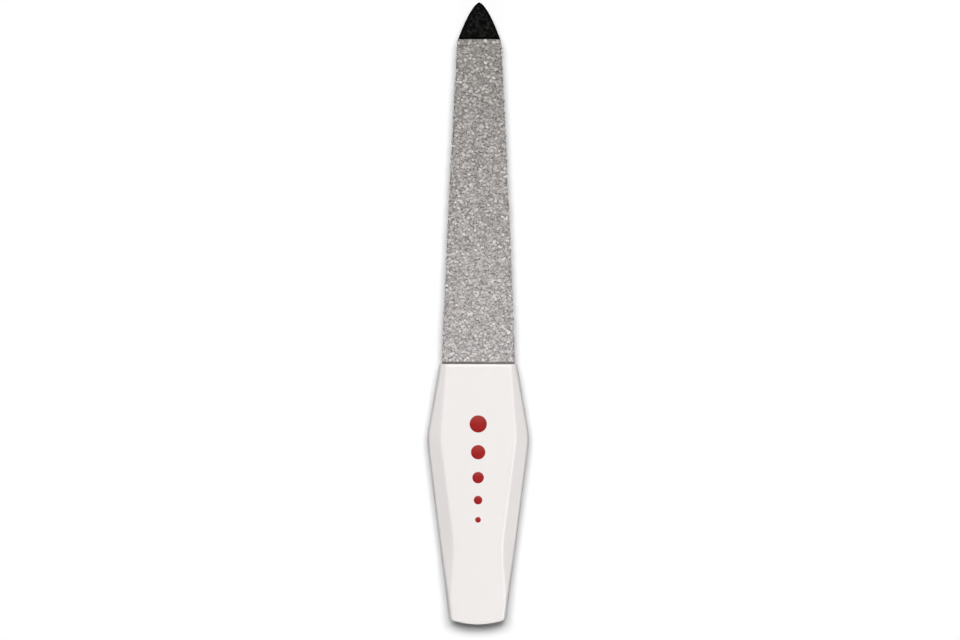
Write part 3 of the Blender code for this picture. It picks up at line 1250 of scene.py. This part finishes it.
@dataclass
class Handle:
    """One-piece handle: flat coffin shape with rolled sides and facets, moulded over the tang.

    Attributes:
        places: Places from the frame.
        coat: The front coat, which the mouth fits.
        lip_side_wall: Plastic on each side of the blade, at the lip.
        flare: How much each side widens from the lip to the turn.
        turn_depth: From the lip to the sides' sharpest turn.
        taper: How much each side draws in from the turn to the end.
        side_blend: Half the length of the curve at the turn.
        end_bow: How far the end bows out.
        end_corner: Size of the end's rounded corners.
        lip_corner: Size of the lip's rounded corners.
        roll_width: Width of the rolled sides, seen from the front.
        roll_turn: How far they roll over, from upright.
        facet_slope: Slope of the facets.
        facet_widths: Their widths at the lip, the turn, the waist, the toe and the end.
        waist_inset: From the end to their waist.
        toe_inset: From the end to their toe.
        facet_blend: Half the length of the curves of their inner edge.
        crease_round: Half the width of the rounding along that edge.
        lip_round: Radius of the lip's upper edge.
        end_round: How far the end's upper edge draws in.
        end_round_height: Height over which it does.
        ridge: How far the mould's parting line stands out of the sides.
        ridge_half_width: Half its width.
        print_room: Height that the front leaves for the print.
        face_margin: Width of the faces' outermost strip.
        mould_gap: Between the plastic and what it is moulded over.
        mouth_overshoot: How far the tool that cuts the mouth reaches past the lip.
        side_steps: Number of chords along each side.
        corner_steps: The same round each corner of the lip and the end.
        end_steps: The same along each half of the end.
        roll_steps: The same round the rolled sides.
        facet_steps: The same across the facets.
        crease_steps: The same round the facets' inner edge.
    """

    places: Places
    coat: GritCoat
    lip_side_wall: float = 0.38 * MM
    flare: float = 2.6 * MM
    turn_depth: float = 15.4 * MM
    taper: float = 4.85 * MM
    side_blend: float = 2.0 * MM
    end_bow: float = 0.85 * MM
    end_corner: float = 0.5 * MM
    lip_corner: float = 0.5 * MM
    roll_width: float = 0.55 * MM
    roll_turn: float = math.radians(70)
    facet_slope: float = math.radians(32)
    facet_widths: tuple[float, ...] = (0.9 * MM, 2.3 * MM, 2.4 * MM, 0.3 * MM, 0.3 * MM)
    waist_inset: float = 15.7 * MM
    toe_inset: float = 5.9 * MM
    facet_blend: float = 3.5 * MM
    crease_round: float = 0.3 * MM
    lip_round: float = 0.35 * MM
    end_round: float = 0.2 * MM
    end_round_height: float = 0.4 * MM
    ridge: float = 0.03 * MM
    ridge_half_width: float = 0.06 * MM
    print_room: float = 0.02 * MM
    face_margin: float = 0.6 * MM
    mould_gap: float = 0.03 * MM
    mouth_overshoot: float = 2.0 * MM
    side_steps: int = 64
    corner_steps: int = 8
    end_steps: int = 16
    roll_steps: int = 12
    facet_steps: int = 4
    crease_steps: int = 4

    @property
    def length(self) -> float:
        """Length from the lip to the middle of the end."""
        return self.places.lip_y - self.places.end_y

    @property
    def half_height(self) -> float:
        """Half thickness, less the room that the print takes on the front."""
        return self.places.handle_half_height - self.print_room

    def half_width(self, depth: float) -> float:
        """Half width at mid-thickness, at a depth behind the lip.

        Args:
            depth: Distance behind the lip.

        Returns:
            The half width.
        """
        lip = self.places.coat_half_width + self.lip_side_wall
        turn = lip + self.flare
        stations = [(0.0, lip), (self.turn_depth, turn), (self.length, turn - self.taper)]
        return blended(stations, self.side_blend, depth)

    def facet_width(self, depth: float) -> float:
        """Width of the facet seen from the front, at a depth behind the lip.

        Args:
            depth: Distance behind the lip.

        Returns:
            The width.
        """
        waist = self.length - self.waist_inset
        depths = (0.0, self.turn_depth, waist, self.length - self.toe_inset, self.length)
        return blended(list(zip(depths, self.facet_widths)), self.facet_blend, depth)

    def outline(self) -> list[Point]:
        """Draws the outline at mid-thickness, with the lip's middle at the origin.

        Returns:
            The outline's points.
        """
        corner_depth = self.length - self.end_bow
        corner_x = self.half_width(corner_depth)

        def side_point(depth: float) -> Point:
            """Point on the side at a depth."""
            return self.half_width(depth), -depth

        def end_point(share: float) -> Point:
            """Point on the bowed end at a share of its half width."""
            return corner_x * share, -self.length + self.end_bow * share**2

        lip = self.half_width(0.0)
        start = (lip - self.lip_corner, 0.0)
        side = rounded(start, (lip, 0.0), side_point(self.lip_corner), self.corner_steps)
        straight = corner_depth - self.end_corner - self.lip_corner
        for step in range(1, self.side_steps):
            side.append(side_point(self.lip_corner + straight * step / self.side_steps))
        share = 1 - self.end_corner / corner_x
        corner = (corner_x, -corner_depth)
        before = side_point(corner_depth - self.end_corner)
        side += rounded(before, corner, end_point(share), self.corner_steps)
        for step in range(1, self.end_steps + 1):
            side.append(end_point(share * (1 - step / self.end_steps)))
        return mirrored(side)

    def section(self, facet: float) -> list[Point]:
        """Draws the section of one side, from mid-thickness to the flat face.

        Args:
            facet: Width of the facet there.

        Returns:
            Pairs of inset from the outline and height above mid-thickness.
        """
        rise = facet * math.tan(self.facet_slope)
        roll_top = self.half_height - rise
        points = [(0.0, 0.0), (0.0, self.ridge_half_width)]
        for step in range(1, self.roll_steps + 1):
            turn = self.roll_turn * step / self.roll_steps
            rolled = (1 - math.cos(turn)) / (1 - math.cos(self.roll_turn))
            inset = self.ridge + (self.roll_width - self.ridge) * rolled
            points.append((inset, roll_top * math.sin(turn) / math.sin(self.roll_turn)))
        crease = (self.roll_width + facet, self.half_height)
        short = min(self.crease_round, facet / 2)
        before = (crease[0] - short, crease[1] - short * math.tan(self.facet_slope))
        foot = (self.roll_width, roll_top)
        for step in range(1, self.facet_steps):
            share = step / self.facet_steps
            points.append(tuple(a + (b - a) * share for a, b in zip(foot, before)))
        after = (crease[0] + self.crease_round, crease[1])
        points += rounded(before, crease, after, self.crease_steps)
        return points + [(after[0] + self.face_margin, crease[1])]

    def edge_inset(self, height: float, radius: float, rise: float) -> float:
        """How far a rounded upper edge draws in.

        Args:
            height: Height above mid-thickness.
            radius: How far it draws in at the face.
            rise: Height over which it does.

        Returns:
            The inset.
        """
        above = max(height - (self.half_height - rise), 0.0) / rise
        return radius * (1 - math.sqrt(max(1 - above**2, 0.0)))

    def ring_at(self, level: int, outline: Sequence[Point], side: int) -> list[Vector]:
        """Draws the outline at one level of the section.

        Args:
            level: Number of the section's point.
            outline: The outline at mid-thickness.
            side: 1 above mid-thickness and -1 below it.

        Returns:
            The ring's points.
        """
        points = []
        for x, y in outline:
            section = self.section(self.facet_width(-y))
            inset, height = section[level]
            margin = self.face_margin if level == len(section) - 1 else 0.0
            lip_inset = self.edge_inset(height, self.lip_round, self.lip_round) + margin
            end_inset = self.edge_inset(height, self.end_round, self.end_round_height) + margin
            shrink = (self.length - lip_inset - end_inset) / self.length
            drawn_x = x * (1 - inset / self.half_width(-y))
            drawn_y = self.places.lip_y + y * shrink - lip_inset
            points.append(Vector((drawn_x, drawn_y, self.places.mid_z + side * height)))
        return points

    def mouth(self) -> BMesh:
        """Makes the tool that opens the mouth for the coated blade.

        Returns:
            A box with rounded long edges.
        """
        wide = 2 * (self.coat.half_width(self.places.lip_y) + self.mould_gap)
        high = 2 * (self.coat.top + self.mould_gap)
        root_y = self.places.coat_root_y - self.mould_gap
        front_y = self.places.lip_y + self.mouth_overshoot
        bm = bmesh.new()
        bmesh.ops.create_cube(bm, size=1.0)
        bmesh.ops.scale(bm, vec=(wide, front_y - root_y, high), verts=bm.verts)
        long_edges = [edge for edge in bm.edges if edge.verts[0].co.y != edge.verts[1].co.y]
        round_edges(bm, long_edges, self.coat.corner, self.coat.arc_steps)
        middle = (0.0, (front_y + root_y) / 2, self.places.mid_z)
        bmesh.ops.translate(bm, vec=middle, verts=bm.verts)
        return bm

    def assemble(self) -> None:
        """Builds the handle, opens it for the blade and the tang, and dresses it."""
        outline = self.outline()
        levels = range(len(self.section(self.facet_widths[0])))
        rings = [self.ring_at(level, outline, -1) for level in reversed(levels[1:])]
        rings += [self.ring_at(level, outline, 1) for level in levels]
        body = loft(rings)
        # no print takes room on the rear, so that face moves out to where the solid's lies
        rear_z = self.places.mid_z - self.half_height / 2
        rear = [vert for vert in body.verts if vert.co.z < rear_z]
        bmesh.ops.translate(body, vec=(0.0, 0.0, -self.print_room), verts=rear)
        handle = Piece("handle_body", body).cut(blank_core(self.mould_gap)).cut(self.mouth())
        handle.dress(WhitePlastic("white_plastic_moulded"), "white_plastic", ["handle"])


@dataclass
class GradeDots:
    """Row of printed dots on the handle's face, from coarse to fine.

    Attributes:
        places: Places from the frame.
        handle: The handle that they are printed on.
        diameters: Diameter of each dot, from the one nearest the lip.
        first_depth: From the lip to the middle of the first dot.
        gap: Clear plastic between two dots.
        ink: Thickness of the ink that stands on the face, and as much again that is keyed into it.
        edge_round: Size of the ink's rounded edge.
        edge_steps: Number of chords round it.
        segments: Number of chords round each dot.
    """

    places: Places
    handle: Handle
    diameters: tuple[float, ...] = (3.6 * MM, 3.0 * MM, 2.4 * MM, 1.8 * MM, 1.2 * MM)
    first_depth: float = 12.5 * MM
    gap: float = 2.6 * MM
    ink: float = 0.018 * MM
    edge_round: float = 0.01 * MM
    edge_steps: int = 2
    segments: int = 64

    def assemble(self) -> None:
        """Builds and dresses the dots."""
        face_z = self.places.mid_z + self.handle.half_height
        bm = bmesh.new()
        y = self.places.lip_y - self.first_depth
        for number, diameter in enumerate(self.diameters):
            if number:
                y -= self.gap + (self.diameters[number - 1] + diameter) / 2
            sizes = {"radius1": diameter / 2, "radius2": diameter / 2, "depth": 2 * self.ink}
            place = Matrix.Translation((0.0, y, face_z))
            bmesh.ops.create_cone(bm, cap_ends=True, segments=self.segments, matrix=place, **sizes)
        rims = [edge for edge in bm.edges if all(vert.co.z > face_z for vert in edge.verts)]
        round_edges(bm, rims, self.edge_round, self.edge_steps)
        Piece("grade_dots", bm).dress(PrintedInk("red_print"))


# Studio


@dataclass
class Studio:
    """Plain white floor and surround, soft lamps, cards for gloss, and a camera straight above.

    Attributes:
        places: Places from the frame.
        picture_width: What the picture's width shows, at mid-thickness.
        aim: Where the camera looks, in X and Y.
        roll: How far it is turned about its line of sight.
        lens: Its focal length, in millimetres.
        sensor: Width of its sensor, in millimetres.
        clip: How many times nearer and farther than the file it still sees.
        floor_size: Length of the floor's sides.
        floor_gap: Between the floor and the handle.
        ambient: Strength of the surround's light on the file.
        lamp_elevation: Height of the two lamps above the floor, as an angle.
        lamp_azimuth: Their direction to either side of the point.
        lamp_softness: How wide a lamp looks from the file.
        lamp_share: How much of the light on white paper is theirs.
        fill_azimuth: Direction of the weak lamp that lights the handle's end.
        fill_elevation: Its height above the floor, as an angle.
        fill_share: How much of the light on white paper is its own.
        cards: Azimuth, elevation and share of each card.
        card_softness: How wide a card looks from the file.
        floor_albedo: How much light the floor throws back on the file.
        floor_lift: Glow that keeps the floor white in the picture.
    """

    places: Places
    picture_width: float = 201.0 * MM
    aim: Point = (0.314 * MM, -1.443 * MM)
    roll: float = math.radians(0.14)
    lens: float = 120.0
    sensor: float = 36.0
    clip: float = 100.0
    floor_size: float = 4.0
    floor_gap: float = 0.02 * MM
    ambient: float = 0.035
    lamp_elevation: float = math.radians(63.5)
    lamp_azimuth: float = math.radians(28)
    lamp_softness: float = math.radians(28)
    lamp_share: float = 0.947
    fill_azimuth: float = math.radians(180)
    fill_elevation: float = math.radians(8)
    fill_share: float = 0.018
    cards: tuple[Triple, ...] = (
        (math.radians(100), math.radians(50), 0.2),
        (math.radians(112), math.radians(26), 0.05),
        (math.radians(180), math.radians(50), 0.15),
    )
    card_softness: float = math.radians(12)
    floor_albedo: float = 0.1
    floor_lift: float = 0.005

    @staticmethod
    def seen_directly(tree: NodeTree) -> NodeSocket:
        """Tells whether the camera sees a surface itself, in a mirror or through glass.

        Args:
            tree: Node tree that gets the nodes.

        Returns:
            1 for those rays and 0 for the others.
        """
        path = tree.nodes.new("ShaderNodeLightPath")
        total = path.outputs["Is Camera Ray"]
        for key in ("Is Glossy Ray", "Is Transmission Ray"):
            node = tree.nodes.new("ShaderNodeMath")
            node.operation = "MAXIMUM"
            tree.links.new(total, node.inputs[0])
            tree.links.new(path.outputs[key], node.inputs[1])
            total = node.outputs[0]
        return total

    def lay_floor(self) -> None:
        """Lays the floor just under the handle."""
        bm = bmesh.new()
        bmesh.ops.create_grid(bm, x_segments=1, y_segments=1, size=self.floor_size / 2)
        bmesh.ops.translate(bm, vec=(0.0, 0.0, -self.floor_gap), verts=bm.verts)
        floor = Piece("floor", bm).obj
        sheet = NodeSheet("white_floor")
        seen = self.seen_directly(sheet.tree)
        sheet.plain(Roughness=1.0, Specular_IOR_Level=0.0, Emission_Color=WHITE)
        sheet.link(sheet.span(seen, low=self.floor_albedo), "Base Color")
        sheet.link(sheet.span(seen, high=self.floor_lift), "Emission Strength")
        floor.data.materials.append(sheet.material)

    def hang_lamp(
        self,
        name: str,
        azimuth: float,
        elevation: float,
        softness: float,
        share: float,
    ) -> Object:
        """Hangs a soft, far lamp.

        Args:
            name: Name of the lamp.
            azimuth: Its direction seen from above, clockwise from the point of the file.
            elevation: Its height above the floor, as an angle.
            softness: How wide it looks from the file.
            share: How much of the light on white paper is its own.

        Returns:
            The lamp.
        """
        lamp = bpy.data.lights.new(name, "SUN")
        lamp.angle = softness
        lamp.energy = share * math.pi / math.sin(elevation)
        obj = bpy.data.objects.new(name, lamp)
        obj.rotation_euler = (elevation - QUARTER_TURN, 0.0, -azimuth)
        bpy.context.scene.collection.objects.link(obj)
        return obj

    def light(self) -> None:
        """Sets the white surround, the soft lamps, and cards that only show as gloss on edges."""
        world = bpy.data.worlds.new("studio")
        world.use_nodes = True
        bpy.context.scene.world = world
        tree = world.node_tree
        background = tree.nodes["Background"]
        background.inputs["Color"].default_value = (*WHITE, 1.0)
        strength = tree.nodes.new("ShaderNodeMapRange")
        strength.inputs["To Min"].default_value = self.ambient
        strength.inputs["To Max"].default_value = 1.0
        tree.links.new(self.seen_directly(tree), strength.inputs["Value"])
        tree.links.new(strength.outputs["Result"], background.inputs["Strength"])

        softness = self.lamp_softness
        for azimuth in (self.lamp_azimuth, -self.lamp_azimuth):
            self.hang_lamp("lamp", azimuth, self.lamp_elevation, softness, self.lamp_share / 2)
        self.hang_lamp("fill", self.fill_azimuth, self.fill_elevation, softness, self.fill_share)
        for azimuth, elevation, share in self.cards:
            card = self.hang_lamp("card", azimuth, elevation, self.card_softness, share)
            card.visible_diffuse = False

    def place_camera(self) -> None:
        """Hangs the camera over the file, with the point at the top of the picture."""
        camera = bpy.data.cameras.new("camera")
        camera.lens = self.lens
        camera.sensor_width = self.sensor
        distance = self.picture_width * self.lens / self.sensor
        camera.clip_start = distance / self.clip
        camera.clip_end = distance * self.clip
        obj = bpy.data.objects.new("camera", camera)
        obj.location = (*self.aim, self.places.mid_z + distance)
        obj.rotation_euler = (0.0, 0.0, self.roll)
        bpy.context.scene.collection.objects.link(obj)
        bpy.context.scene.camera = obj

    def assemble(self) -> None:
        """Sets up the studio and the picture's colour management."""
        self.lay_floor()
        self.light()
        self.place_camera()
        bpy.context.scene.view_settings.view_transform = "Standard"


def main() -> None:
    """Builds the sub-assemblies in order and reports each piece."""
    logging.basicConfig(level=logging.INFO, format="%(name)s %(message)s")
    places = Places.from_frame()
    front = GritCoat(places, Side.FRONT, Grade.COARSE)
    rear = GritCoat(places, Side.REAR, Grade.FINE)
    handle = Handle(places, front)
    dots = GradeDots(places, handle)
    for assembly in (SteelBlank(), front, rear, PointCoat(places), handle, dots, Studio(places)):
        assembly.assemble()


if __name__ == "__main__":
    main()
